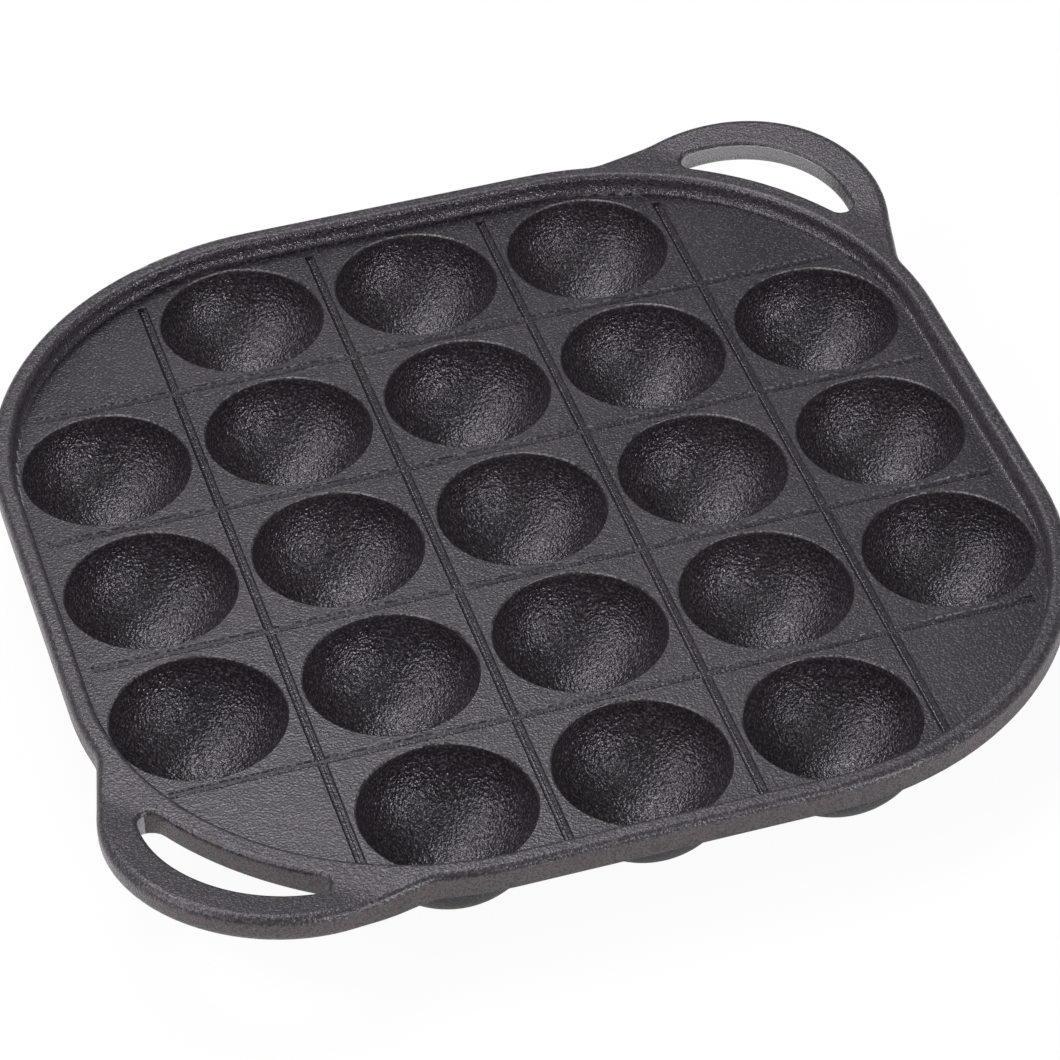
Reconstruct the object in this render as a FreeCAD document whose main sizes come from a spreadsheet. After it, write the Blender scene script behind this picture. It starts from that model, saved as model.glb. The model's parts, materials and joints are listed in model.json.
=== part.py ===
import FreeCAD, Part
import math
import os

import Sketcher
from FreeCAD import Placement, Rotation, Vector

# Cast-iron dumpling pan: one sand casting with a raised rim, a grid of half-round
# cups without its four corner ones, shallow grooves between the cups and a loop
# handle on two opposite corners. Lengths are in millimetres and angles in degrees.
# The cups stand on z = 0, the grid runs along x and y, and the handles lie on the
# diagonal x = y. The casting is held as simple bodies that meet in the plane of the
# plate's underside: the plate with its rim and handles, and the bowl of each cup.

# Cups along one side of the grid
CUPS_ACROSS = 5

# Driving sizes: alias, value, what it is
DRIVING_SIZES = [
    ("cup_radius", 20.1, "inner radius of a cup, and its depth under the deck"),
    ("cup_wall", 2.3, "thickness of a cup's wall"),
    ("cup_flat", 0.3, "how much of a cup's wall the flat under it takes"),
    ("cup_gap", 4.8, "web of deck between two neighbouring cups"),
    ("mouth_round", 0.4, "rounding of a cup's mouth"),
    ("cup_to_rim", 2.4, "deck between the outermost cups and the rim's inner wall"),
    ("rim_width", 5.0, "width of the rim's flat-topped band"),
    ("rim_height", 5.9, "height of the rim over the deck"),
    ("rim_round", 1.5, "rounding of the rim's inner top edge"),
    ("rim_foot", 1.2, "fillet where the rim's inner wall meets the deck"),
    ("corner_radius", 81.0, "outer radius of the pan's corners"),
    ("deck_thickness", 2.5, "thickness of the deck between the cups"),
    ("outer_round", 2.0, "rounding of the outer top edge"),
    ("under_round", 3.2, "rounding of the outer bottom edge"),
    ("groove_width", 2.4, "width of a groove at the deck"),
    ("groove_depth", 1.0, "depth of a groove"),
    ("groove_round", 0.4, "radius of a groove's bottom"),
    ("groove_end", 2.0, "deck left between a groove's end and the rim's foot"),
    ("slot_land", 0.5, "how far the slot stands off the circle of the pan's corner"),
    ("slot_width", 12.2, "finger slot's width on the diagonal"),
    ("slot_radius", 31.3, "radius of the slot's outer side"),
    ("slot_end", 2.9, "radius of the slot's two ends"),
    ("slot_round", 1.3, "rounding of the slot's top edges"),
    ("slot_under_round", 3.0, "rounding of the slot's bottom edges"),
    ("handle_band", 9.7, "width of the handle's loop on the diagonal"),
    ("handle_radius", 38.2, "outer radius of the handle"),
    ("flank_angle", 58.0, "turn of the handle's arc, from the diagonal to its straight flank"),
    ("handle_blend", 12.0, "hollow radius where a flank runs into the pan's side"),
    ("handle_tilt", 10.0, "rise of the handle's top face"),
    ("under_tilt", 11.0, "rise of the handle's underside"),
    ("tilt_bend", 30.0, "radius of the bend at which the rise starts"),
    ("cutter_spare", 2.0, "how far cutting sketches run past what they cut"),
]


class Size:
    """A number together with the expression that works it out from the sheet."""

    def __init__(self, value, text):
        self.value = value
        self.text = text

    def __add__(self, other):
        other = as_size(other)
        return Size(self.value + other.value, f"({self.text} + {other.text})")

    def __sub__(self, other):
        other = as_size(other)
        return Size(self.value - other.value, f"({self.text} - {other.text})")

    def __mul__(self, other):
        other = as_size(other)
        return Size(self.value * other.value, f"({self.text} * {other.text})")

    def __truediv__(self, other):
        other = as_size(other)
        return Size(self.value / other.value, f"({self.text} / {other.text})")

    def __neg__(self):
        return Size(-self.value, f"(-1 * {self.text})")

    def __radd__(self, other):
        return as_size(other) + self

    def __rsub__(self, other):
        return as_size(other) - self

    def __rmul__(self, other):
        return as_size(other) * self


def as_size(number):
    """A plain number as a Size, and a Size as it is."""
    return number if isinstance(number, Size) else Size(float(number), repr(number))


def root(size):
    return Size(math.sqrt(size.value), f"sqrt({size.text})")


def tangent_of(angle):
    return Size(math.tan(math.radians(angle.value)), f"tan({angle.text} * 1 deg)")


# The sheet of driving sizes
doc = FreeCAD.newDocument("DumplingPan")
sheet = doc.addObject("Spreadsheet::Sheet", "Sizes")
size = {}
for row, (alias, value, meaning) in enumerate(DRIVING_SIZES, start=1):
    sheet.set(f"A{row}", str(value))
    sheet.setAlias(f"A{row}", alias)
    sheet.set(f"B{row}", meaning)
    size[alias] = Size(value, f"Sizes.{alias}")
doc.recompute()

# Sizes worked out from the driving ones
pitch = 2 * size["cup_radius"] + size["cup_gap"]
last_cup = pitch * ((CUPS_ACROSS - 1) / 2)
tray_half = last_cup + size["cup_radius"] + size["cup_to_rim"]
pan_half = tray_half + size["rim_width"]
corner_centre = pan_half - size["corner_radius"]
tray_corner = size["corner_radius"] - size["rim_width"]
shell_radius = size["cup_radius"] + size["cup_wall"]
deck_level = shell_radius - size["cup_flat"]
under_level = deck_level - size["deck_thickness"]
rim_level = deck_level + size["rim_height"]
diagonal = 2 ** 0.5
corner_reach = corner_centre * diagonal + size["corner_radius"]
slot_inner = size["corner_radius"] + size["slot_land"]
slot_reach = corner_reach + size["slot_land"] + size["slot_width"]
slot_centre = (slot_reach - size["slot_radius"]) / diagonal
handle_reach = slot_reach + size["handle_band"]
handle_centre = (handle_reach - size["handle_radius"]) / diagonal
handle_rise = (handle_reach - corner_reach) * tangent_of(size["handle_tilt"])
cutter_reach = handle_reach + size["cutter_spare"]
cutter_top = rim_level + handle_rise + size["cutter_spare"]
cutter_bottom = under_level - size["cutter_spare"]


def new_body(label):
    body = doc.addObject("PartDesign::Body", label)
    body.Label = label
    body.Placement = Placement()
    return body


def origin_feature(body, role):
    return next(f for f in body.Origin.OriginFeatures if f.Role == role)


def bind(thing, path, value):
    """Give a property of a feature, or a named constraint of a sketch, its expression."""
    thing.setExpression(path, value.text)


class Drawing:
    """A sketch on one of a body's origin planes, drawn edge by edge."""

    def __init__(self, body, name, plane, offset=(0, 0, 0), turn=None):
        self.sketch = body.newObject("Sketcher::SketchObject", name)
        self.sketch.AttachmentSupport = [(origin_feature(body, plane), "")]
        self.sketch.MapMode = "FlatFace"
        place = [as_size(part) for part in offset]
        base = Vector(*[part.value for part in place])
        self.sketch.AttachmentOffset = Placement(base, turn or Rotation())
        for axis, part in zip("xyz", place):
            if part.value:
                bind(self.sketch, f"AttachmentOffset.Base.{axis}", part)

    def line(self, start, end):
        return self.sketch.addGeometry(Part.LineSegment(Vector(*start), Vector(*end)), False)

    def arc(self, centre, start, end):
        """The arc that runs counter-clockwise about centre from start to end."""
        radius = math.hypot(start[0] - centre[0], start[1] - centre[1])
        first = math.atan2(start[1] - centre[1], start[0] - centre[0])
        last = math.atan2(end[1] - centre[1], end[0] - centre[0])
        if last <= first:
            last += 2 * math.pi
        circle = Part.Circle(Vector(*centre), Vector(0, 0, 1), radius)
        return self.sketch.addGeometry(Part.ArcOfCircle(circle, first, last), False)

    def join(self, kind, edge, end, other, start):
        self.sketch.addConstraint(Sketcher.Constraint(kind, edge, end, other, start))

    def rule(self, kind, *parts):
        self.sketch.addConstraint(Sketcher.Constraint(kind, *parts))

    def measure(self, kind, target, value, in_degrees=False):
        """A constraint whose number follows the sheet."""
        number = math.radians(value.value) if in_degrees else value.value
        index = self.sketch.addConstraint(Sketcher.Constraint(kind, *target, number))
        text = f"{value.text} * 1 deg" if in_degrees else value.text
        self.sketch.setExpression(f"Constraints[{index}]", text)

    def place(self, edge, point, x=None, y=None):
        """Hold a point of an edge at a distance from the sketch's origin."""
        if x is not None:
            self.measure("DistanceX", (-1, 1, edge, point), as_size(x))
        if y is not None:
            self.measure("DistanceY", (-1, 1, edge, point), as_size(y))


# Names of the points of an edge in a sketch
START, END, CENTRE = 1, 2, 3


def along_diagonal(forward, aside, side=1):
    """A point given from the pan's corner centre, along and across the diagonal."""
    x = corner_centre.value + (forward - aside) / diagonal
    y = corner_centre.value + (forward + aside) / diagonal
    return (side * x, side * y)


def handle_points():
    """Where the handle's arc, its flank and its blend touch, on one side."""
    corner = size["corner_radius"].value
    blend = size["handle_blend"].value
    radius = size["handle_radius"].value
    angle = math.radians(size["flank_angle"].value)
    centre = handle_reach.value - radius - corner_centre.value * diagonal
    out = (math.cos(angle), math.sin(angle))
    along = (-math.sin(angle), math.cos(angle))
    away = centre * out[0] + radius + blend
    back = -math.sqrt((corner + blend) ** 2 - away ** 2)
    blend_centre = (away * out[0] + back * along[0], away * out[1] + back * along[1])
    arc_end = (centre + radius * out[0], radius * out[1])
    flank_end = (blend_centre[0] - blend * out[0], blend_centre[1] - blend * out[1])
    shrink = corner / (corner + blend)
    side_start = (blend_centre[0] * shrink, blend_centre[1] * shrink)
    return arc_end, flank_end, blend_centre, side_start


def handle_corner(drawing, side):
    """Outline of one handle corner, counter-clockwise: list of (edge, first, last)."""
    arc_end, flank_end, blend_centre, side_start = handle_points()

    def spot(point, across):
        return along_diagonal(point[0], across * point[1], side)

    corner = along_diagonal(0, 0, side)
    half, centre = side * pan_half.value, side * corner_centre.value
    middle = (side * handle_centre.value, side * handle_centre.value)
    pieces = [
        drawing.arc(corner, (half, centre), spot(side_start, -1)),
        drawing.arc(spot(blend_centre, -1), spot(flank_end, -1), spot(side_start, -1)),
        drawing.line(spot(flank_end, -1), spot(arc_end, -1)),
        drawing.arc(middle, spot(arc_end, -1), spot(arc_end, 1)),
        drawing.line(spot(arc_end, 1), spot(flank_end, 1)),
        drawing.arc(spot(blend_centre, 1), spot(side_start, 1), spot(flank_end, 1)),
        drawing.arc(corner, spot(side_start, 1), (centre, half)),
    ]
    right, blend_right, flank_right, arc, flank_left, blend_left, left = pieces
    for edge in (right, left):
        drawing.place(edge, CENTRE, side * corner_centre, side * corner_centre)
        drawing.measure("Radius", (edge,), size["corner_radius"])
    for edge in (blend_right, blend_left):
        drawing.measure("Radius", (edge,), size["handle_blend"])
    drawing.place(arc, CENTRE, side * handle_centre, side * handle_centre)
    drawing.measure("Radius", (arc,), size["handle_radius"])
    turned = 0 if side > 0 else 180
    right_way = 135 - size["flank_angle"] - turned
    left_way = 135 + size["flank_angle"] - (360 if side > 0 else turned)
    drawing.measure("Angle", (flank_right,), right_way, in_degrees=True)
    drawing.measure("Angle", (flank_left,), left_way, in_degrees=True)
    return [
        (right, START, END),
        (blend_right, END, START),
        (flank_right, START, END),
        (arc, START, END),
        (flank_left, START, END),
        (blend_left, END, START),
        (left, START, END),
    ]


def plain_corner(drawing, x_side, y_side, half, corner):
    """A quarter-round corner of a rounded square, counter-clockwise."""
    inner = half - corner
    centre = (x_side * inner.value, y_side * inner.value)
    on_x_wall = (x_side * half.value, y_side * inner.value)
    on_y_wall = (x_side * inner.value, y_side * half.value)
    ends = (on_x_wall, on_y_wall) if x_side * y_side > 0 else (on_y_wall, on_x_wall)
    edge = drawing.arc(centre, *ends)
    drawing.place(edge, CENTRE, x_side * inner, y_side * inner)
    drawing.measure("Radius", (edge,), corner)
    return [(edge, START, END)]


def wall(drawing, half, inner, side, along_y):
    """A straight side of a rounded square, counter-clockwise."""
    across, reach = side * half.value, side * inner.value
    ends = ((across, -reach), (across, reach)) if along_y else ((reach, across), (-reach, across))
    return [(drawing.line(*ends), START, END)]


def close_smoothly(drawing, chain):
    """Join each edge of a closed chain to the next one without a kink."""
    for (edge, _, last), (other, first, _) in zip(chain, chain[1:] + chain[:1]):
        drawing.join("Tangent", edge, last, other, first)


def rounded_square(drawing, half, corner, handles):
    """Outline of the pan, with or without the handles on two of its corners."""
    inner = half - corner

    def handle_side(side):
        if handles:
            return handle_corner(drawing, side)
        return plain_corner(drawing, side, side, half, corner)

    chain = wall(drawing, half, inner, 1, True) + handle_side(1)
    chain += wall(drawing, half, inner, 1, False) + plain_corner(drawing, -1, 1, half, corner)
    chain += wall(drawing, half, inner, -1, True) + handle_side(-1)
    chain += wall(drawing, half, inner, -1, False) + plain_corner(drawing, 1, -1, half, corner)
    close_smoothly(drawing, chain)


def bent_profile(drawing, level, bend_at, tilt, far_level):
    """Side view along the diagonal: flat in the middle, rising towards both handles."""
    bend = size["tilt_bend"]
    lead = bend * tangent_of(tilt / 2)
    flat_end = bend_at - lead
    angle = math.radians(tilt.value)
    rise_start = (
        flat_end.value + bend.value * math.sin(angle),
        level.value + bend.value * (1 - math.cos(angle)),
    )
    reach = cutter_reach.value
    tip = (reach, rise_start[1] + (reach - rise_start[0]) * math.tan(angle))
    bend_centre = (flat_end.value, level.value + bend.value)

    def mirrored(point):
        return (-point[0], point[1])

    flat_right = (flat_end.value, level.value)
    flat = drawing.line(mirrored(flat_right), flat_right)
    bend_right = drawing.arc(bend_centre, flat_right, rise_start)
    rise_right = drawing.line(rise_start, tip)
    side_right = drawing.line(tip, (reach, far_level.value))
    far = drawing.line((reach, far_level.value), (-reach, far_level.value))
    side_left = drawing.line((-reach, far_level.value), mirrored(tip))
    rise_left = drawing.line(mirrored(tip), mirrored(rise_start))
    bend_left = drawing.arc(mirrored(bend_centre), mirrored(rise_start), mirrored(flat_right))
    drawing.join("Tangent", flat, END, bend_right, START)
    drawing.join("Tangent", bend_right, END, rise_right, START)
    drawing.join("Coincident", rise_right, END, side_right, START)
    drawing.join("Coincident", side_right, END, far, START)
    drawing.join("Coincident", far, END, side_left, START)
    drawing.join("Coincident", side_left, END, rise_left, START)
    drawing.join("Tangent", rise_left, END, bend_left, START)
    drawing.join("Tangent", bend_left, END, flat, START)
    drawing.rule("Horizontal", flat)
    drawing.rule("Horizontal", far)
    drawing.rule("Vertical", side_right)
    drawing.rule("Vertical", side_left)
    drawing.place(flat, START, -flat_end, level)
    drawing.place(flat, END, flat_end)
    drawing.place(far, START, cutter_reach, far_level)
    drawing.place(far, END, -cutter_reach)
    for edge in (bend_right, bend_left):
        drawing.measure("Radius", (edge,), bend)
    drawing.measure("Angle", (rise_right,), tilt, in_degrees=True)
    drawing.measure("Angle", (rise_left,), -tilt, in_degrees=True)


def slot_outline(drawing):
    """The crescent between the pan's corner and the handle's loop."""
    inner, outer = slot_inner.value, size["slot_radius"].value
    end = size["slot_end"].value
    centre = (slot_centre.value - corner_centre.value) * diagonal
    forward = ((inner + end) ** 2 - (outer - end) ** 2 + centre ** 2) / (2 * centre)
    aside = math.sqrt((inner + end) ** 2 - forward ** 2)
    on_inner = (forward * inner / (inner + end), aside * inner / (inner + end))
    grow = outer / (outer - end)
    on_outer = (centre + (forward - centre) * grow, aside * grow)

    def spot(point, across):
        return along_diagonal(point[0], across * point[1])

    middle = (slot_centre.value, slot_centre.value)
    corner = along_diagonal(0, 0)
    end_centre = (forward, aside)
    far_side = drawing.arc(middle, spot(on_outer, -1), spot(on_outer, 1))
    left_end = drawing.arc(spot(end_centre, 1), spot(on_outer, 1), spot(on_inner, 1))
    near_side = drawing.arc(corner, spot(on_inner, -1), spot(on_inner, 1))
    right_end = drawing.arc(spot(end_centre, -1), spot(on_inner, -1), spot(on_outer, -1))
    drawing.place(far_side, CENTRE, slot_centre, slot_centre)
    drawing.measure("Radius", (far_side,), size["slot_radius"])
    drawing.place(near_side, CENTRE, corner_centre, corner_centre)
    drawing.measure("Radius", (near_side,), slot_inner)
    for edge in (left_end, right_end):
        drawing.measure("Radius", (edge,), size["slot_end"])
    close_smoothly(drawing, [
        (far_side, START, END),
        (left_end, START, END),
        (near_side, END, START),
        (right_end, START, END),
    ])


def bowl_profile(drawing):
    """Half section of a bowl: its flat foot, its outside, its top ring and its inside."""
    inner, outer = size["cup_radius"].value, shell_radius.value
    level, ring_level = deck_level.value, under_level.value
    drop = level - ring_level
    foot_end = (math.sqrt(outer ** 2 - level ** 2), 0)
    outer_top = (math.sqrt(outer ** 2 - drop ** 2), ring_level)
    inner_top = (math.sqrt(inner ** 2 - drop ** 2), ring_level)
    bottom = (0, level - inner)
    foot = drawing.line((0, 0), foot_end)
    outside = drawing.arc((0, level), foot_end, outer_top)
    ring = drawing.line(outer_top, inner_top)
    inside = drawing.arc((0, level), bottom, inner_top)
    axis = drawing.line(bottom, (0, 0))
    drawing.join("Coincident", foot, END, outside, START)
    drawing.join("Coincident", outside, END, ring, START)
    drawing.join("Coincident", ring, END, inside, END)
    drawing.join("Coincident", inside, START, axis, START)
    drawing.join("Coincident", axis, END, foot, START)
    drawing.join("Coincident", inside, CENTRE, outside, CENTRE)
    drawing.rule("Coincident", foot, START, -1, 1)
    drawing.rule("Horizontal", foot)
    drawing.rule("Horizontal", ring)
    drawing.rule("Vertical", axis)
    drawing.rule("PointOnObject", outside, CENTRE, -2)
    drawing.place(outside, CENTRE, y=deck_level)
    drawing.place(ring, START, y=under_level)
    drawing.measure("Radius", (outside,), shell_radius)
    drawing.measure("Radius", (inside,), size["cup_radius"])


def bore_profile(drawing):
    """Half section of a cup's inside, with the rounding of its mouth."""
    cup, mouth = size["cup_radius"].value, size["mouth_round"].value
    level = deck_level.value
    lip = math.sqrt((cup + mouth) ** 2 - mouth ** 2)
    shrink = cup / (cup + mouth)
    touch = (lip * shrink, level - mouth * shrink)
    top = drawing.line((0, level), (lip, level))
    edge = drawing.arc((lip, level - mouth), (lip, level), touch)
    bowl = drawing.arc((0, level), (0, level - cup), touch)
    axis = drawing.line((0, level - cup), (0, level))
    drawing.join("Tangent", top, END, edge, START)
    drawing.join("Tangent", edge, END, bowl, END)
    drawing.join("Coincident", bowl, START, axis, START)
    drawing.join("Coincident", axis, END, top, START)
    drawing.join("Coincident", bowl, CENTRE, top, START)
    drawing.rule("Horizontal", top)
    drawing.rule("Vertical", axis)
    drawing.rule("PointOnObject", top, START, -2)
    drawing.place(top, START, y=deck_level)
    drawing.measure("Radius", (bowl,), size["cup_radius"])
    drawing.measure("Radius", (edge,), size["mouth_round"])


def groove_profile(drawing):
    """Section of a groove: two slopes and a round bottom."""
    half, depth = size["groove_width"] / 2, size["groove_depth"]
    bottom = size["groove_round"]
    level = deck_level.value
    to_centre = depth.value - bottom.value
    slant = math.hypot(half.value, to_centre)
    slope = math.atan2(to_centre, half.value) + math.asin(bottom.value / slant)
    side = math.sqrt(slant ** 2 - bottom.value ** 2)
    touch = (half.value - side * math.cos(slope), level - side * math.sin(slope))
    lid = drawing.line((half.value, level), (-half.value, level))
    left = drawing.line((-half.value, level), (-touch[0], touch[1]))
    floor = drawing.arc((0, level - to_centre), (-touch[0], touch[1]), touch)
    right = drawing.line(touch, (half.value, level))
    drawing.join("Coincident", lid, END, left, START)
    drawing.join("Tangent", left, END, floor, START)
    drawing.join("Tangent", floor, END, right, START)
    drawing.join("Coincident", right, END, lid, START)
    drawing.rule("Horizontal", lid)
    drawing.place(lid, START, half, deck_level)
    drawing.place(lid, END, -half)
    drawing.rule("PointOnObject", floor, CENTRE, -2)
    drawing.place(floor, CENTRE, y=deck_level - depth + bottom)
    drawing.measure("Radius", (floor,), bottom)


def add_feature(body, kind, name, drawing):
    """A feature made from a sketch, as the newest step of the body."""
    feature = body.newObject(f"PartDesign::{kind}", name)
    feature.Profile = (drawing.sketch, [""])
    drawing.sketch.Visibility = False
    body.Tip = feature
    return feature


def cut_through_diagonal(body, name, drawing):
    """Remove what a side view covers, from one end of the pan to the other."""
    doc.recompute()
    before = body.Shape.Volume
    cut = add_feature(body, "Pocket", name, drawing)
    cut.Type = "ThroughAll"
    cut.SideType = "Symmetric"
    doc.recompute()
    expect_less(body, before, name)


def expect_less(body, before, name):
    if not body.Shape.Volume < before - 1e-3:
        raise RuntimeError(f"{name} cuts nothing")


def steepness(face, point):
    """The upward share of a face's outward normal at a point."""
    u, v = face.Surface.parameter(point)
    return face.normalAt(u, v).z


def sharp_edges(shape, upward=None, above=None, below=None):
    """Names of the edges between a standing wall and a lying face."""
    names = []
    for number, edge in enumerate(shape.Edges, start=1):
        point = edge.valueAt((edge.FirstParameter + edge.LastParameter) / 2)
        slopes = [steepness(face, point) for face in shape.ancestorsOfType(edge, Part.Face)]
        if len(slopes) != 2 or min(abs(s) for s in slopes) > 0.1:
            continue
        lying = max(slopes, key=abs)
        if abs(lying) < 0.9 or (upward is not None and (lying > 0) != upward):
            continue
        if above is not None and point.z < above or below is not None and point.z > below:
            continue
        names.append(f"Edge{number}")
    return names


def round_edges(body, name, radius, **which):
    """A fillet along the sharp edges that the keywords pick."""
    doc.recompute()
    base = body.Tip
    fillet = body.newObject("PartDesign::Fillet", name)
    fillet.Base = (base, sharp_edges(base.Shape, **which))
    bind(fillet, "Radius", radius)
    body.Tip = fillet


def repeat(body, feature, axis, step, count):
    """Copies of a feature along one of the body's axes."""
    pattern = body.newObject("PartDesign::LinearPattern", f"{feature.Name}_row")
    pattern.Originals = [feature]
    pattern.Direction = (origin_feature(body, axis), [""])
    pattern.Mode = "Spacing"
    pattern.Occurrences = count
    bind(pattern, "Offset", step)
    body.Tip = pattern


def cup_columns(line):
    """Columns of a row that hold a cup: the outer rows lack both their ends."""
    edge = CUPS_ACROSS // 2
    last = edge - 1 if abs(line) == edge else edge
    return range(-last, last + 1)


def cut_bores(body):
    """Turn the inside of the cups out of the plate, a row at a time."""
    edge = CUPS_ACROSS // 2
    for number, line in enumerate(range(-edge, edge + 1), start=1):
        columns = cup_columns(line)
        offset = (pitch * columns[0], 0, -pitch * line)
        drawing = Drawing(body, f"cup_bore_section_{number}", "XZ_Plane", offset)
        bore_profile(drawing)
        bore = add_feature(body, "Groove", f"cup_bore_{number}", drawing)
        bore.ReferenceAxis = (drawing.sketch, ["V_Axis"])
        bore.Angle = 360
        doc.recompute()
        repeat(body, bore, "X_Axis", pitch, len(columns))
        doc.recompute()


def cut_grooves(body):
    """Grooves half-way between the rows of cups, each as long as the deck is there."""
    foot_corner = tray_corner - size["rim_foot"] - size["groove_end"]
    middle_reach = tray_half - size["rim_foot"] - size["groove_end"]
    for plane, axis in (("XZ_Plane", "X_Axis"), ("YZ_Plane", "Y_Axis")):
        for row in range(CUPS_ACROSS // 2):
            place = pitch * (row + 0.5)
            past = place - corner_centre
            if past.value > 0:
                reach = corner_centre + root(foot_corner * foot_corner - past * past)
            else:
                reach = middle_reach
            name = f"groove_{axis[0].lower()}{row + 1}"
            drawing = Drawing(body, f"{name}_section", plane, (-place, 0, 0))
            groove_profile(drawing)
            before = body.Shape.Volume
            groove = add_feature(body, "Pocket", name, drawing)
            groove.Type = "Length"
            groove.SideType = "Symmetric"
            bind(groove, "Length", 2 * reach)
            doc.recompute()
            repeat(body, groove, axis, 2 * place, 2)
            doc.recompute()
            expect_less(body, before, name)


def make_plate():
    """The plate with its rim, handles, cup mouths and grooves."""
    body = new_body("pan_plate")

    # Plate, rim and handles as one slab of the full height
    outline = Drawing(body, "outline", "XY_Plane", (0, 0, under_level))
    rounded_square(outline, pan_half, size["corner_radius"], handles=True)
    slab = add_feature(body, "Pad", "slab", outline)
    bind(slab, "Length", rim_level + handle_rise - under_level)
    doc.recompute()

    # Top face and underside, which both rise along the handles
    across = Rotation(Vector(0, 1, 0), 45)
    top = Drawing(body, "top_view", "XZ_Plane", turn=across)
    bent_profile(top, rim_level, corner_reach, size["handle_tilt"], cutter_top)
    cut_through_diagonal(body, "top_face", top)
    under = Drawing(body, "under_view", "XZ_Plane", turn=across)
    under_bend = corner_reach - size["rim_width"]
    bent_profile(under, under_level, under_bend, size["under_tilt"], cutter_bottom)
    cut_through_diagonal(body, "underside", under)
    round_edges(body, "outer_top_rounding", size["outer_round"], upward=True)
    round_edges(body, "outer_under_rounding", size["under_round"], upward=False)

    # Finger slots
    doc.recompute()
    before = body.Shape.Volume
    slot_drawing = Drawing(body, "slot_outline", "XY_Plane")
    slot_outline(slot_drawing)
    slot = add_feature(body, "Pocket", "slot", slot_drawing)
    slot.Type = "ThroughAll"
    slot.SideType = "Symmetric"
    doc.recompute()
    pair = body.newObject("PartDesign::PolarPattern", "slot_pair")
    pair.Originals = [slot]
    pair.Axis = (origin_feature(body, "Z_Axis"), [""])
    pair.Angle = 360
    pair.Occurrences = 2
    body.Tip = pair
    round_edges(body, "slot_top_rounding", size["slot_round"], upward=True)
    round_edges(body, "slot_under_rounding", size["slot_under_round"], upward=False)
    doc.recompute()
    expect_less(body, before, "slot")

    # Sunk deck inside the rim
    before = body.Shape.Volume
    tray_drawing = Drawing(body, "tray_outline", "XY_Plane", (0, 0, rim_level))
    rounded_square(tray_drawing, tray_half, tray_corner, handles=False)
    tray = add_feature(body, "Pocket", "tray", tray_drawing)
    tray.Type = "Length"
    bind(tray, "Length", size["rim_height"])
    doc.recompute()
    expect_less(body, before, "tray")
    half_way = (deck_level + size["rim_height"] / 2).value
    round_edges(body, "rim_rounding", size["rim_round"], upward=True, above=half_way)
    round_edges(body, "rim_foot_fillet", size["rim_foot"], upward=True, below=half_way)
    doc.recompute()

    # Cup mouths and grooves
    before = body.Shape.Volume
    cut_bores(body)
    expect_less(body, before, "cup_bore")
    cut_grooves(body)
    return body


def make_bowl(line, column):
    """The part of one cup that hangs under the plate, turned about the cup's axis."""
    row_name, column_name = (number + CUPS_ACROSS // 2 + 1 for number in (line, column))
    body = new_body(f"bowl_row{row_name}_col{column_name}")
    body.Placement = Placement(Vector(pitch.value * column, pitch.value * line, 0), Rotation())
    bind(body, ".Placement.Base.x", pitch * column)
    bind(body, ".Placement.Base.y", pitch * line)
    section = Drawing(body, f"{body.Label}_section", "XZ_Plane")
    bowl_profile(section)
    bowl = add_feature(body, "Revolution", f"{body.Label}_turned", section)
    bowl.ReferenceAxis = (section.sketch, ["V_Axis"])
    bowl.Angle = 360
    return body


def make_bowls():
    """The bowls of all the cups, row by row."""
    edge = CUPS_ACROSS // 2
    rows = range(-edge, edge + 1)
    return [make_bowl(line, column) for line in rows for column in cup_columns(line)]


def check_document():
    """Stop at an object that failed to rebuild."""
    for thing in doc.Objects:
        if {"Invalid", "Error"} & set(thing.State):
            raise RuntimeError(f"{thing.Name} is not up to date: {thing.State}")


bodies = [make_plate()] + make_bowls()
doc.recompute()
check_document()
os.makedirs("parts", exist_ok=True)
for body in bodies:
    shape = body.Shape
    if shape.isNull() or not shape.isValid() or len(shape.Solids) != 1:
        raise RuntimeError(f"{body.Label} is not one valid solid")
    shape.exportStep(f"parts/{body.Label}.step")
    box = shape.BoundBox
    print(
        f"{body.Label}: {box.XLength:.2f} x {box.YLength:.2f} x {box.ZLength:.2f} mm,"
        f" lowest {box.ZMin:.3f}, {shape.Volume / 1000:.1f} cm3, {len(shape.Faces)} faces"
    )
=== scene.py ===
"""Cast-iron dumpling pan: the casting dressed for the camera, on a pale studio floor."""

from __future__ import annotations

import json
import logging
import math
from dataclasses import dataclass
from enum import Enum

import bpy
from mathutils import Euler, Matrix, Vector

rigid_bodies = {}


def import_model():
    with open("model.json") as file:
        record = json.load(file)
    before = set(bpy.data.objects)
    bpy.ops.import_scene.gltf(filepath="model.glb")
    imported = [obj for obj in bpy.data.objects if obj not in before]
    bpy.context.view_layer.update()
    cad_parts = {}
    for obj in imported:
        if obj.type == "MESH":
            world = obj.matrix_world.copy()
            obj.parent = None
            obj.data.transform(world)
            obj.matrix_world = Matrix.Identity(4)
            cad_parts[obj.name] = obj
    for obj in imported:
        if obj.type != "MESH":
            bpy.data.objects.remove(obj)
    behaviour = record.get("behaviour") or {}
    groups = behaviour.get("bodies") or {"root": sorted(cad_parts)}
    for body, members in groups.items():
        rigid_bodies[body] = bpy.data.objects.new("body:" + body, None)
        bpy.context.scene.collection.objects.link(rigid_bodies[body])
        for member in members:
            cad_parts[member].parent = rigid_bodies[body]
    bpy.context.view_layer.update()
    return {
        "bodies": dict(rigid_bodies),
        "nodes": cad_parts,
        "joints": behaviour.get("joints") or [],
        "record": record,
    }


LOG = logging.getLogger("dumpling_pan")
MM = 0.001

Colour = tuple[float, float, float, float]
Span = tuple[float, float]


class Side(Enum):
    """Where a lamp stands, as seen from the pan's middle."""

    BACK = "back"
    LEFT = "left"
    RIGHT = "right"


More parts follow.
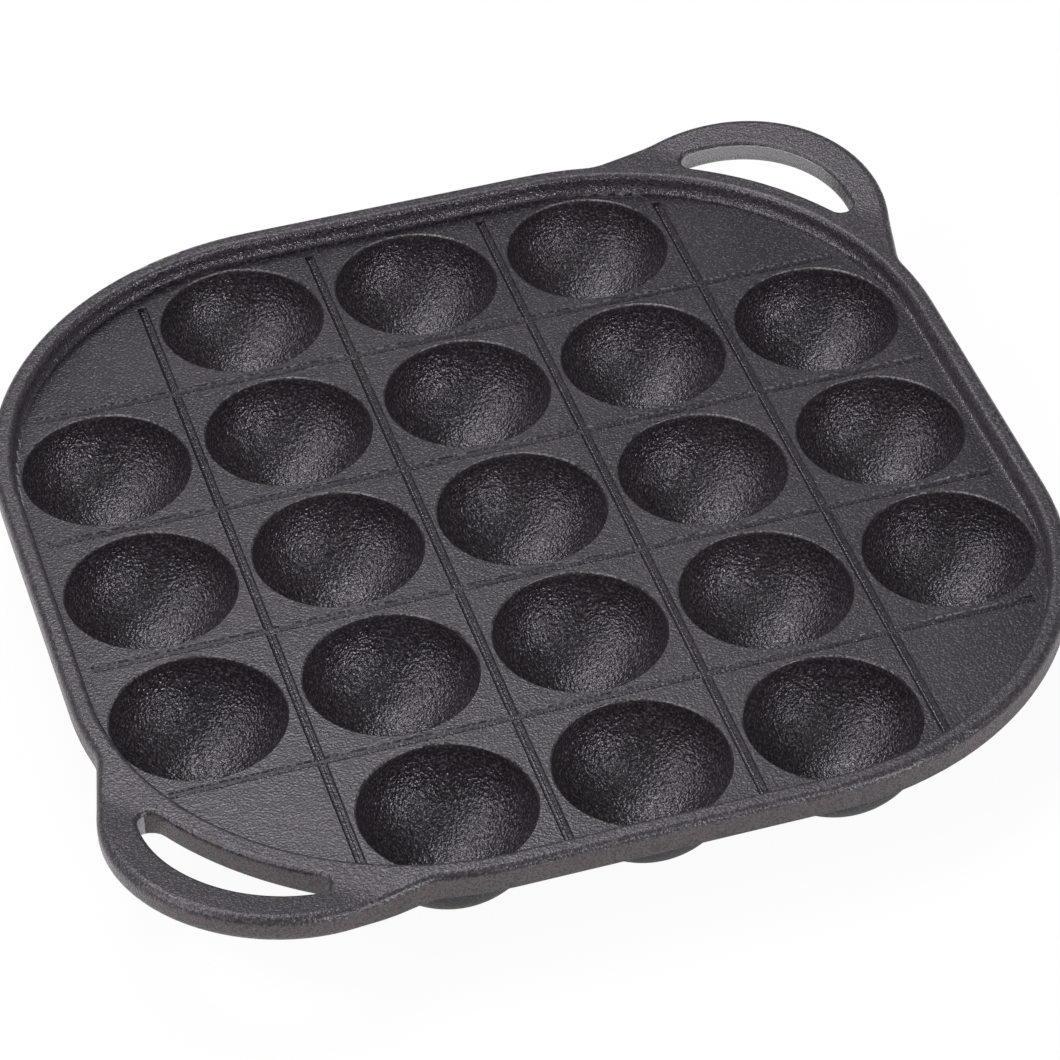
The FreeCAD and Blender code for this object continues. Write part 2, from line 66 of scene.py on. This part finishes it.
@dataclass(frozen=True)
class PanSizes:
    """The casting's sizes that its finish follows, in millimetres."""

    pitch: float = 45.0
    deck_level: float = 22.1
    rim_level: float = 28.0
    corner_middle: float = 36.5
    tray_reach: float = 78.5
    slot_middle: float = 80.6
    slot_radius: float = 31.3


PAN = PanSizes()


class Web:
    """A node tree, with short calls that add nodes and join them."""

    noise_roughness = 0.55

    def __init__(self, tree: bpy.types.NodeTree) -> None:
        """Take over a node tree.

        Args:
            tree: The tree that later calls add to.
        """
        self.tree = tree

    def plug(self, socket: bpy.types.NodeSocket, value: object) -> None:
        """Give an input socket a value or a link.

        Args:
            socket: The input socket.
            value: A number, a colour or an output socket.
        """
        if isinstance(value, bpy.types.NodeSocket):
            self.tree.links.new(value, socket)
        else:
            socket.default_value = value

    def node(self, kind: str, **settings: object) -> bpy.types.Node:
        """Add a node.

        Args:
            kind: The node's Blender type name, without the ShaderNode in front.
            settings: Properties of the node to set.

        Returns:
            The new node.
        """
        made = self.tree.nodes.new(f"ShaderNode{kind}")
        for name, value in settings.items():
            setattr(made, name, value)
        return made

    def feed(self, node: bpy.types.Node, **inputs: object) -> bpy.types.Node:
        """Give a node's inputs a value or a link, by name.

        Args:
            node: The node to feed.
            inputs: Socket names with underscores for blanks, and numbers or output sockets.

        Returns:
            The same node.
        """
        for name, value in inputs.items():
            self.plug(node.inputs[name.replace("_", " ")], value)
        return node

    def maths(self, operation: str, *values: object, clamp: bool = False) -> bpy.types.NodeSocket:
        """Add a Math node.

        Args:
            operation: The node's operation.
            values: One to three numbers or output sockets.
            clamp: Whether the result is held between 0 and 1.

        Returns:
            The node's output.
        """
        node = self.node("Math", operation=operation, use_clamp=clamp)
        for socket, value in zip(node.inputs, values):
            self.plug(socket, value)
        return node.outputs[0]

    def product(self, first: object, *others: object) -> bpy.types.NodeSocket:
        """Two or more numbers multiplied.

        Args:
            first: A number or an output socket.
            others: The numbers or output sockets to multiply it by.

        Returns:
            The product's socket.
        """
        result = first
        for value in others:
            result = self.maths("MULTIPLY", result, value)
        return result

    def length(self, first: object, second: object) -> bpy.types.NodeSocket:
        """How long a step is, from its shares in two directions at right angles.

        Args:
            first: A number or an output socket.
            second: A number or an output socket.

        Returns:
            The length's socket.
        """
        squares = self.maths("ADD", self.product(first, first), self.product(second, second))
        return self.maths("SQRT", squares)

    def spread(self, value: object, span: Span) -> bpy.types.NodeSocket:
        """A value's place within a span, smoothed and held between 0 and 1.

        Args:
            value: The output socket to read.
            span: Where the result starts to rise from 0, and where it reaches 1.

        Returns:
            The result's socket.
        """
        node = self.node("MapRange", interpolation_type="SMOOTHSTEP", clamp=True)
        self.feed(node, Value=value, From_Min=span[0], From_Max=span[1], To_Min=0.0, To_Max=1.0)
        return node.outputs[0]

    def between(self, share: object, first: object, second: object) -> bpy.types.NodeSocket:
        """A mix of two numbers.

        Args:
            share: How much of the second number shows.
            first: A number or an output socket.
            second: A number or an output socket.

        Returns:
            The mixed number's socket.
        """
        node = self.node("Mix", data_type="FLOAT", clamp_factor=True)
        for socket, value in zip(node.inputs[:1] + node.inputs[2:4], (share, first, second)):
            self.plug(socket, value)
        return node.outputs[0]

    def blend(self, share: object, first: object, second: object) -> bpy.types.NodeSocket:
        """A mix of two colours.

        Args:
            share: How much of the second colour shows.
            first: A colour or an output socket.
            second: A colour or an output socket.

        Returns:
            The mixed colour's socket.
        """
        node = self.node("Mix", data_type="RGBA", clamp_factor=True)
        for socket, value in ((node.inputs[0], share), (node.inputs[6], first), (node.inputs[7], second)):
            self.plug(socket, value)
        return node.outputs[2]

    def noise(self, where: object, detail: float, size: float = 1.0) -> bpy.types.NodeSocket:
        """Soft lumps of one size.

        Args:
            where: The coordinates to read.
            detail: How many finer layers are added.
            size: How far apart the lumps are, in the coordinates' own unit.

        Returns:
            A value around one half.
        """
        node = self.node("TexNoise", noise_dimensions="3D")
        self.feed(node, Vector=where, Scale=1 / size, Detail=detail, Roughness=self.noise_roughness)
        return node.outputs[0]

    def split(self, vector: bpy.types.NodeSocket) -> bpy.types.NodeOutputs:
        """A vector's X, Y and Z.

        Args:
            vector: The vector's socket.

        Returns:
            Three outputs, by letter.
        """
        return self.feed(self.node("SeparateXYZ"), Vector=vector).outputs

    def seen(self) -> bpy.types.NodeSocket:
        """Whether the camera looks at a place, straight or through something clear.

        Returns:
            One where it does, zero elsewhere.
        """
        ray = self.node("LightPath").outputs
        return self.maths("MAXIMUM", ray["Is Camera Ray"], ray["Is Transmission Ray"])


class Effect:
    """A node group that gives masks or values, built once and shared by the materials."""

    name = "effect"
    inputs: tuple[tuple[str, float], ...] = ()
    outputs: tuple[str, ...] = ()

    def __init__(self) -> None:
        """Build the group's sockets and let the kind of effect fill it."""
        self.tree = bpy.data.node_groups.new(self.name, "ShaderNodeTree")
        for label, value in self.inputs:
            socket = self.tree.interface.new_socket(label, in_out="INPUT", socket_type="NodeSocketFloat")
            socket.default_value = value
        for label in self.outputs:
            self.tree.interface.new_socket(label, in_out="OUTPUT", socket_type="NodeSocketFloat")
        self.web = Web(self.tree)
        self.given = self.tree.nodes.new("NodeGroupInput").outputs
        self.result = self.tree.nodes.new("NodeGroupOutput")
        self.fill()

    def fill(self) -> None:
        """Add the nodes that make the effect."""
        raise NotImplementedError

    def scaled(self, size: object) -> bpy.types.NodeSocket:
        """Object coordinates counted in steps of a size.

        Args:
            size: The step in millimetres.

        Returns:
            The scaled coordinates.
        """
        node = self.web.node("VectorMath", operation="SCALE")
        where = self.web.node("TexCoord").outputs["Object"]
        self.web.feed(node, Vector=where, Scale=self.web.maths("DIVIDE", 1 / MM, size))
        return node.outputs[0]

    def place_in_mm(self, axes: str) -> list[bpy.types.NodeSocket]:
        """Object coordinates in millimetres.

        Args:
            axes: The letters of the coordinates to give.

        Returns:
            One socket for each letter.
        """
        where = self.web.split(self.web.node("TexCoord").outputs["Object"])
        return [self.web.maths("DIVIDE", where[axis], MM) for axis in axes]

    def facing(self) -> bpy.types.NodeOutputs:
        """Which way the solid's face looks.

        Returns:
            X, Y and Z of its outward direction, by letter.
        """
        return self.web.split(self.web.node("NewGeometry").outputs["True Normal"])

    def give(self, **sockets: bpy.types.NodeSocket) -> None:
        """Join results to the group's outputs.

        Args:
            sockets: The results, by the outputs' names with underscores for blanks.
        """
        self.web.feed(self.result, **sockets)

    def place(self, web: Web, **inputs: object) -> bpy.types.NodeOutputs:
        """Put the effect into a material.

        Args:
            web: The material's node tree.
            inputs: Values for the group's inputs.

        Returns:
            The outputs of the group's node.
        """
        return web.feed(web.node("Group", node_tree=self.tree), **inputs).outputs


class CastGrain(Effect):
    """The pebbled skin that the moulding sand leaves on a casting."""

    name = "cast grain"
    inputs = (("Size", 0.8), ("Lump Share", 0.5))
    outputs = ("Height", "Glint", "Pit", "Bead")
    grain_layers = 1.0
    lump_size = 4.3
    bead_layers = 0.0
    bead_size = 1.1
    glints: Span = (0.54, 0.66)
    pits: Span = (0.46, 0.36)
    beads: Span = (0.52, 0.60)

    def fill(self) -> None:
        """Crumpled grain over low lumps, with masks of its tops, its hollows and dots for painted
        highlights.
        """
        web = self.web
        spot = self.scaled(self.given["Size"])
        fine = web.noise(spot, self.grain_layers)
        lumps = web.noise(spot, self.grain_layers, self.lump_size)
        self.give(
            Height=web.maths("MULTIPLY_ADD", lumps, self.given["Lump Share"], fine),
            Glint=web.spread(fine, self.glints),
            Pit=web.spread(fine, self.pits),
            Bead=web.spread(web.noise(spot, self.bead_layers, self.bead_size), self.beads),
        )


class Seasoning(Effect):
    """Uneven oil seasoning: wide cloudy patches and small dark spots."""

    name = "seasoning"
    inputs = (("Patch Size", 30.0),)
    outputs = ("Cloud", "Spot")
    cloud_layers = 3.0
    spot_layers = 2.0
    spot_size = 0.11
    clouds: Span = (0.36, 0.64)
    spots: Span = (0.58, 0.72)

    def fill(self) -> None:
        """Clouds over centimetres and spots of a few millimetres."""
        web = self.web
        patch = self.scaled(self.given["Patch Size"])
        self.give(
            Cloud=web.spread(web.noise(patch, self.cloud_layers), self.clouds),
            Spot=web.spread(web.noise(patch, self.spot_layers, self.spot_size), self.spots),
        )


class Places(Effect):
    """Masks for the parts of the casting: bowls, upright sides, raised faces and edges.

    Each span is where a mask starts and where it is full. Heights are in millimetres, and a
    facing is one part of the surface's outward direction, from -1 to 1.
    """

    name = "places on the casting"
    inputs = (("Deck Level", PAN.deck_level), ("Rim Level", PAN.rim_level))
    outputs = ("Bowl", "Side", "Raised", "Front Edge")
    looking_up: Span = (-0.05, 0.12)
    standing: Span = (0.55, 0.25)
    leaning: Span = (0.985, 0.90)
    looking_forward: Span = (-0.05, -0.25)
    bowl_depth: Span = (-0.15, -1.2)
    edge_foot: Span = (-0.45, -0.25)
    edge_top: Span = (0.05, -0.05)
    rim_top: Span = (-1.2, -0.2)

    def fill(self) -> None:
        """Tell the places apart by height over the floor and by which way the surface faces."""
        web = self.web
        (height,) = self.place_in_mm("Z")
        facing = self.facing()
        over_deck = web.maths("SUBTRACT", height, self.given["Deck Level"])
        over_rim = web.maths("SUBTRACT", height, self.given["Rim Level"])
        upward = web.spread(facing["Z"], self.looking_up)
        sunk = web.spread(over_deck, self.bowl_depth)
        upright = web.spread(web.maths("ABSOLUTE", facing["Z"]), self.standing)
        at_edge = web.product(web.spread(over_deck, self.edge_foot), web.spread(over_deck, self.edge_top))
        tilted = web.product(
            web.spread(facing["Z"], self.leaning), web.spread(facing["Y"], self.looking_forward)
        )
        self.give(
            Bowl=web.product(upward, sunk),
            Side=web.product(upright, web.maths("SUBTRACT", 1.0, sunk)),
            Raised=web.product(upward, web.spread(over_rim, self.rim_top)),
            # Edges that tilt to the front, where painted highlight beads go.
            Front_Edge=web.product(at_edge, tilted, upward),
        )


class Relief(Effect):
    """Fine relief in the tray: level groove floors and a wide hollow along the rim's foot.

    It also marks the walls of the tray, the grooves' sides that get painted shade and the
    finger slots' front walls that get a painted glow. Lengths are in millimetres, and a facing
    is one part of the surface's outward direction, from -1 to 1.
    """

    name = "relief in the tray"
    inputs = (
        ("Deck Level", PAN.deck_level),
        ("Pitch", PAN.pitch),
        ("Corner Middle", PAN.corner_middle),
        ("Tray Reach", PAN.tray_reach),
        ("Slot Middle", PAN.slot_middle),
        ("Slot Radius", PAN.slot_radius),
        ("Floor Half", 0.80),
        ("Wall Slope", 1.335),
        ("Bottom Round", 0.2),
        ("Foot Height", 3.4),
        ("Foot Slope", 1.15),
    )
    outputs = ("Height", "Inner Wall", "Groove Wall", "Slot Wall")
    groove_top = -0.02
    groove_half = 1.3
    shadow_width = 0.45
    shadow = 0.9
    shadow_when_lit = 0.3
    sideways = 0.1
    underside = -0.05
    slot_band = 1.8
    wall_facing: Span = (0.8, 0.4)
    wall_foot: Span = (0.0, 0.3)
    slot_upright: Span = (0.5, 0.2)
    slot_forward: Span = (-0.1, -0.5)

    def fill(self) -> None:
        """Add up the rises and keep them to the top side within the rim."""
        web = self.web
        across, along, height = self.place_in_mm("XYZ")
        facing = self.facing()
        over_deck = web.maths("SUBTRACT", height, self.given["Deck Level"])
        within = self.within_tray(across, along, facing)
        away = web.maths("MINIMUM", self.off_line(across), self.off_line(along))
        sunk = web.maths("LESS_THAN", over_deck, self.groove_top)
        rise = web.maths("ADD", web.product(self.groove_rise(away), sunk), self.foot_rise(over_deck))
        wall = web.product(web.spread(facing["Z"], self.wall_facing), web.spread(over_deck, self.wall_foot))
        self.give(
            Height=web.product(within, rise),
            Inner_Wall=web.product(within, wall),
            # Painted shade: the grooves' sides, darkest where they face away from the light.
            Groove_Wall=web.product(within, sunk, self.groove_shadow(away, facing)),
            # Painted glow: the slots' outer walls that face the front, lit as if by the white floor.
            Slot_Wall=web.product(self.slot_side(across, along, facing), web.maths("SUBTRACT", 1.0, within)),
        )

    def within_tray(
        self, across: bpy.types.NodeSocket, along: bpy.types.NodeSocket, facing: bpy.types.NodeOutputs
    ) -> bpy.types.NodeSocket:
        """Whether a place is inside the rim's outline and not on the underside.

        Args:
            across: The place's X.
            along: Its Y.
            facing: Which way it looks.

        Returns:
            One inside, zero elsewhere.
        """
        web = self.web
        past = [self.past_middle(value, "Corner Middle") for value in (across, along)]
        reach = web.length(*(web.maths("MAXIMUM", value, 0.0) for value in past))
        inside = web.maths("LESS_THAN", reach, self.given["Tray Reach"])
        return web.product(inside, web.maths("GREATER_THAN", facing["Z"], self.underside))

    def past_middle(self, value: bpy.types.NodeSocket, middle: str) -> bpy.types.NodeSocket:
        """How far a place lies beyond a round's middle, on either side of the pan.

        Args:
            value: The place's X or Y.
            middle: The input that says where the round's middle is.

        Returns:
            The distance, below zero short of the middle.
        """
        return self.web.maths("SUBTRACT", self.web.maths("ABSOLUTE", value), self.given[middle])

    def off_line(self, value: bpy.types.NodeSocket) -> bpy.types.NodeSocket:
        """Distance from the nearest groove's middle line.

        Args:
            value: The coordinate across the grooves.

        Returns:
            The distance.
        """
        web = self.web
        steps = web.maths("FRACT", web.maths("DIVIDE", value, self.given["Pitch"]))
        share = web.maths("ABSOLUTE", web.maths("SUBTRACT", steps, 0.5))
        return web.product(share, self.given["Pitch"])

    def groove_rise(self, away: bpy.types.NodeSocket) -> bpy.types.NodeSocket:
        """How far a groove's slanted side is filled up towards a level floor.

        Args:
            away: Distance from the groove's middle line.

        Returns:
            The rise.
        """
        web, given = self.web, self.given
        held = web.maths("MINIMUM", away, given["Floor Half"])
        bottom = web.product(given["Bottom Round"], given["Bottom Round"])
        soft = web.maths("SQRT", web.maths("MULTIPLY_ADD", held, held, bottom))
        whole = web.product(given["Floor Half"], given["Wall Slope"])
        return web.maths("SUBTRACT", whole, web.product(soft, given["Wall Slope"]))

    def foot_rise(self, over_deck: bpy.types.NodeSocket) -> bpy.types.NodeSocket:
        """How far the rim's wall swells towards its foot.

        Args:
            over_deck: Height over the deck.

        Returns:
            The rise.
        """
        web, given = self.web, self.given
        share = web.maths("SUBTRACT", 1.0, web.maths("DIVIDE", over_deck, given["Foot Height"]), clamp=True)
        return web.product(given["Foot Slope"], given["Foot Height"], 0.5, share, share)

    def groove_shadow(
        self, away: bpy.types.NodeSocket, facing: bpy.types.NodeOutputs
    ) -> bpy.types.NodeSocket:
        """How dark a groove's side is: wide and deep away from the light, thin and pale towards it.

        Args:
            away: Distance from the groove's middle line.
            facing: Which way the side looks.

        Returns:
            The share of the painted shade.
        """
        web = self.web
        to_right = web.maths("GREATER_THAN", facing["X"], self.sideways)
        to_left = web.maths("LESS_THAN", facing["X"], -self.sideways)
        to_front = web.maths("LESS_THAN", facing["Y"], -self.sideways)
        inner = web.maths("MULTIPLY_ADD", to_right, -self.shadow_width, self.given["Floor Half"])
        band = web.product(
            web.maths("GREATER_THAN", away, inner), web.maths("LESS_THAN", away, self.groove_half)
        )
        lit = web.maths("MAXIMUM", to_left, to_front)
        return web.product(band, web.between(lit, self.shadow, self.shadow_when_lit))

    def slot_side(
        self, across: bpy.types.NodeSocket, along: bpy.types.NodeSocket, facing: bpy.types.NodeOutputs
    ) -> bpy.types.NodeSocket:
        """Whether a place is on the outer side of a finger slot and looks to the front.

        Args:
            across: The place's X.
            along: Its Y.
            facing: Which way it looks.

        Returns:
            One on that side, zero elsewhere.
        """
        web = self.web
        on_diagonal = web.maths("GREATER_THAN", web.product(across, along), 0.0)
        away = web.length(*(self.past_middle(value, "Slot Middle") for value in (across, along)))
        ring = web.maths("COMPARE", away, self.given["Slot Radius"], self.slot_band)
        upright = web.spread(facing["Z"], self.slot_upright)
        return web.product(on_diagonal, ring, upright, web.spread(facing["Y"], self.slot_forward))


@dataclass(frozen=True)
class Skin:
    """The masks and values that a casting's finish is mixed from."""

    where: bpy.types.NodeOutputs
    shaped: bpy.types.NodeOutputs
    oil: bpy.types.NodeOutputs
    height: bpy.types.NodeSocket
    glint: bpy.types.NodeSocket
    pit: bpy.types.NodeSocket
    highlight_bead: bpy.types.NodeSocket


@dataclass(frozen=True)
class SeasonedIron:
    """Cast iron with a baked-on oil seasoning, and painted glints, highlights, glow and shade in its colour.
    """

    name: str = "seasoned_iron_with_painted_light"
    deck: Colour = (0.0110, 0.0098, 0.0145, 1.0)
    bowl: Colour = (0.0215, 0.0178, 0.0222, 1.0)
    side: Colour = (0.066, 0.049, 0.050, 1.0)
    raised: Colour = (0.0265, 0.0240, 0.0285, 1.0)
    inner_wall: Colour = (0.048, 0.040, 0.048, 1.0)
    # Painted shade on the grooves' sides.
    painted_groove_shade: Colour = (0.004, 0.003, 0.004, 1.0)
    # Painted glow of floor light on the finger slots' front walls.
    painted_slot_glow: Colour = (0.32, 0.31, 0.32, 1.0)
    worn: Colour = (0.028, 0.023, 0.026, 1.0)
    # Lighter grain tops: partly worn peaks, partly painted glints.
    wear_and_glint: Colour = (0.072, 0.064, 0.074, 1.0)
    # Painted highlight beads along the front-tilted edges.
    painted_bead_highlight: Colour = (0.10, 0.10, 0.105, 1.0)
    dark: Colour = (0.008, 0.007, 0.009, 1.0)
    film: Colour = (0.97, 0.92, 1.0, 1.0)
    film_ior: float = 1.5
    gloss: float = 0.55
    shaded_groove_gloss: float = 0.15
    cloud_share: float = 0.3
    spot_share: float = 0.4
    pit_share: float = 0.7
    glint_share: float = 0.85
    fine_size: float = 0.60
    coarse_size: float = 0.66
    grain_depth: float = 0.31
    deck_grain: float = 0.40
    bowl_grain: float = 1.30
    side_grain: float = 1.10
    wall_grain: float = 1.60
    raised_grain: float = 0.60
    roughness: float = 0.31
    bowl_roughness: float = 0.15
    raised_roughness: float = 0.36
    side_roughness: float = 0.26
    cloud_roughness: float = 0.05
    glint_roughness: float = -0.08

    def build(self, grain: Effect, seasoning: Effect, places: Effect, relief: Effect) -> bpy.types.Material:
        """Make the material.

        Args:
            grain: The sand-cast grain.
            seasoning: The uneven seasoning.
            places: The masks of the casting's parts.
            relief: The tray's fine relief.

        Returns:
            The finished material.
        """
        made = bpy.data.materials.new(self.name)
        made.use_nodes = True
        made.diffuse_color = self.deck
        made.node_tree.nodes.clear()
        web = Web(made.node_tree)
        where, shaped = places.place(web), relief.place(web)
        fine = grain.place(web, Size=self.fine_size)
        coarse = grain.place(web, Size=self.coarse_size)
        rugged = web.maths("MAXIMUM", where["Bowl"], shaped["Inner Wall"])
        height, glint, pit = (
            web.between(rugged, fine[name], coarse[name]) for name in ("Height", "Glint", "Pit")
        )
        skin = Skin(where, shaped, seasoning.place(web), height, glint, pit, fine["Bead"])
        shader = web.node("BsdfPrincipled")
        # Less gloss on the grooves' sides deepens their painted shade.
        gloss = web.between(shaped["Groove Wall"], self.gloss, self.shaded_groove_gloss)
        web.feed(shader, Base_Color=self.tint(web, skin), Roughness=self.sheen(web, skin))
        web.feed(shader, Normal=self.surface(web, skin), Specular_IOR_Level=gloss)
        web.feed(shader, Specular_Tint=self.film, IOR=self.film_ior)
        web.feed(web.node("OutputMaterial"), Surface=shader.outputs[0])
        return made

    def by_place(self, web: Web, skin: Skin, deck: float, *others: float) -> bpy.types.NodeSocket:
        """One number for each part of the casting, mixed by the masks.

        Args:
            web: The material's node tree.
            skin: The masks to mix by.
            deck: The deck's number.
            others: Those of the raised faces, the upright sides and the bowls.

        Returns:
            The mixed number's socket.
        """
        value: object = deck
        for name, other in zip(("Raised", "Side", "Bowl"), others):
            value = web.between(skin.where[name], value, other)
        return value

    def tint(self, web: Web, skin: Skin) -> bpy.types.NodeSocket:
        """The colour: a tone for each part of the casting, then oil, the grain's hollows and painted
        glints, a painted glow on the slot walls, painted shade in the grooves and painted highlight
        beads on the front edges.

        Args:
            web: The material's node tree.
            skin: The masks to mix by.

        Returns:
            The colour's socket.
        """
        layers = (
            (skin.where["Raised"], self.raised),
            (skin.where["Side"], self.side),
            (skin.shaped["Inner Wall"], self.inner_wall),
            (skin.where["Bowl"], self.bowl),
            (web.product(skin.oil["Cloud"], self.cloud_share), self.worn),
            (web.product(skin.oil["Spot"], self.spot_share), self.dark),
            # The grain's hollows darker: partly oil seasoning in them, partly painted shade.
            (web.product(skin.pit, self.pit_share), self.dark),
            # Painted glints: the grain's tops lightened, partly as worn peaks and partly as glints of light.
            (web.product(skin.glint, self.glint_share), self.wear_and_glint),
            # Painted glow of floor light on the finger slots' front walls.
            (skin.shaped["Slot Wall"], self.painted_slot_glow),
            # Painted shade on the grooves' sides.
            (skin.shaped["Groove Wall"], self.painted_groove_shade),
            # Painted highlight: bright beads along edges that tilt to the front.
            (web.product(skin.where["Front Edge"], skin.highlight_bead), self.painted_bead_highlight),
        )
        colour = self.deck
        for share, tone in layers:
            colour = web.blend(share, colour, tone)
        return colour

    def sheen(self, web: Web, skin: Skin) -> bpy.types.NodeSocket:
        """The roughness: one for each part, duller in the clouds and smoother on the grain's tops.

        Args:
            web: The material's node tree.
            skin: The masks to mix by.

        Returns:
            The roughness's socket.
        """
        parts = (self.roughness, self.raised_roughness, self.side_roughness, self.bowl_roughness)
        rough = self.by_place(web, skin, *parts)
        rough = web.maths("MULTIPLY_ADD", skin.oil["Cloud"], self.cloud_roughness, rough)
        rough = web.maths("MULTIPLY_ADD", skin.glint, self.glint_roughness, rough)
        return web.between(skin.shaped["Inner Wall"], rough, self.bowl_roughness)

    def surface(self, web: Web, skin: Skin) -> bpy.types.NodeSocket:
        """The bumps: the cast grain, deeper in the bowls and on walls, over the tray's relief.

        Args:
            web: The material's node tree.
            skin: The masks to mix by.

        Returns:
            The bumped surface's outward direction.
        """
        parts = (self.deck_grain, self.raised_grain, self.side_grain, self.bowl_grain)
        depth = self.by_place(web, skin, *parts)
        depth = web.between(skin.shaped["Inner Wall"], depth, self.wall_grain)
        depth = web.product(depth, self.grain_depth)
        height = web.maths("MULTIPLY_ADD", skin.height, depth, skin.shaped["Height"])
        return web.feed(web.node("Bump"), Height=height, Distance=MM, Strength=1.0).outputs[0]


@dataclass(frozen=True)
class FloorPaint:
    """The plain white sweep that the pan stands on."""

    name: str = "floor_paint"
    colour: Colour = (0.86, 0.86, 0.86, 1.0)
    roughness: float = 0.4
    white: Colour = (1.0, 1.0, 1.0, 1.0)
    seen_as_white: float = 0.94

    def build(self) -> bpy.types.Material:
        """Make the material: matt paint that mostly reads as plain white to the camera.

        Returns:
            The finished material.
        """
        made = bpy.data.materials.new(self.name)
        made.use_nodes = True
        made.node_tree.nodes.clear()
        web = Web(made.node_tree)
        paint = web.feed(web.node("BsdfDiffuse"), Color=self.colour, Roughness=self.roughness)
        glow = web.feed(web.node("Emission"), Color=self.white, Strength=1.0)
        both = web.feed(web.node("MixShader"), Fac=web.product(web.seen(), self.seen_as_white))
        web.plug(both.inputs[1], paint.outputs[0])
        web.plug(both.inputs[2], glow.outputs[0])
        web.feed(web.node("OutputMaterial"), Surface=both.outputs[0])
        return made


@dataclass
class Casting:
    """The pan itself, one sand casting."""

    finish: SeasonedIron = SeasonedIron()

    def build(self, frame: dict) -> None:
        """Give the casting its finish.

        Args:
            frame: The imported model.
        """
        iron = self.finish.build(CastGrain(), Seasoning(), Places(), Relief())
        for node, thing in frame["nodes"].items():
            for held in (thing if isinstance(thing, (list, tuple)) else [thing]):
                held.data.materials.clear()
                held.data.materials.append(iron)
                LOG.info("%s is dressed in %s", node, iron.name)


@dataclass(frozen=True)
class Lamp:
    """A softbox: where it stands from the pan's middle, how large and how bright it is."""

    side: Side
    azimuth: float
    elevation: float
    distance: float
    width: float
    height: float
    power: float

    def build(self, target: Vector) -> None:
        """Set up the lamp.

        Args:
            target: The point it faces.
        """
        name = f"softbox_{self.side.value}"
        light = bpy.data.lights.new(name, "AREA")
        light.shape = "RECTANGLE"
        light.size, light.size_y = self.width, self.height
        light.energy = self.power
        lamp = bpy.data.objects.new(name, light)
        bpy.context.collection.objects.link(lamp)
        turn, rise = math.radians(self.azimuth), math.radians(self.elevation)
        away = Vector((math.sin(turn) * math.cos(rise), math.cos(turn) * math.cos(rise), math.sin(rise)))
        lamp.location = target + away * self.distance
        lamp.rotation_euler = (-away).to_track_quat("-Z", "Y").to_euler()


@dataclass
class Studio:
    """Floor, soft light and the camera at the photograph's angle."""

    floor_half: float = 4.0
    camera_place: tuple[float, float, float] = (-0.22203, -0.76755, 0.72057)
    camera_heading: float = -16.26
    camera_dip: float = 41.44
    camera_roll: float = -1.5
    lens: float = 152.78
    sensor: float = 36.0
    nearest: float = 0.05
    farthest: float = 30.0
    air: Colour = (1.0, 1.0, 1.0, 1.0)
    sky: float = 0.26
    target: tuple[float, float, float] = (0.0, 0.0, 0.02)
    lamps: tuple[Lamp, ...] = (
        Lamp(Side.BACK, -14.0, 66.0, 1.15, 0.75, 0.55, 9.8),
        Lamp(Side.LEFT, -102.0, 38.0, 1.3, 0.6, 0.8, 9.0),
        Lamp(Side.RIGHT, 147.0, 24.0, 1.4, 0.5, 0.5, 10.5),
    )

    def build(self) -> None:
        """Set up the floor, the light and the camera."""
        self.lay_floor()
        self.light_up()
        self.aim_camera()

    def lay_floor(self) -> None:
        """A wide flat floor at the pan's foot."""
        half = self.floor_half
        mesh = bpy.data.meshes.new("floor")
        corners = [(-half, -half, 0), (half, -half, 0), (half, half, 0), (-half, half, 0)]
        mesh.from_pydata(corners, [], [(0, 1, 2, 3)])
        mesh.materials.append(FloorPaint().build())
        floor = bpy.data.objects.new("floor", mesh)
        bpy.context.collection.objects.link(floor)
        LOG.info("the floor is laid")

    def light_up(self) -> None:
        """A grey dome that the camera sees as white, and the softboxes."""
        world = bpy.data.worlds.new("studio_air")
        bpy.context.scene.world = world
        world.use_nodes = True
        world.node_tree.nodes.clear()
        web = Web(world.node_tree)
        strength = web.maths("MULTIPLY_ADD", web.seen(), 1.0 - self.sky, self.sky)
        dome = web.feed(web.node("Background"), Color=self.air, Strength=strength)
        web.feed(web.node("OutputWorld"), Surface=dome.outputs[0])
        for lamp in self.lamps:
            lamp.build(Vector(self.target))
        LOG.info("%d softboxes are lit", len(self.lamps))

    def aim_camera(self) -> None:
        """Stand the camera where the photograph was taken from."""
        data = bpy.data.cameras.new("camera")
        data.sensor_width, data.lens = self.sensor, self.lens
        data.clip_start, data.clip_end = self.nearest, self.farthest
        camera = bpy.data.objects.new("camera", data)
        bpy.context.collection.objects.link(camera)
        look = Euler((math.radians(90 - self.camera_dip), 0.0, math.radians(self.camera_heading)))
        roll = Matrix.Rotation(math.radians(self.camera_roll), 4, "Z")
        camera.matrix_world = Matrix.Translation(self.camera_place) @ look.to_matrix().to_4x4() @ roll
        bpy.context.scene.camera = camera


def main() -> None:
    """Build everything in order."""
    logging.basicConfig(level=logging.INFO, format="%(message)s")
    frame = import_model()
    bpy.context.scene.view_settings.view_transform = "Standard"
    Studio().build()
    Casting().build(frame)


if __name__ == "__main__":
    main()
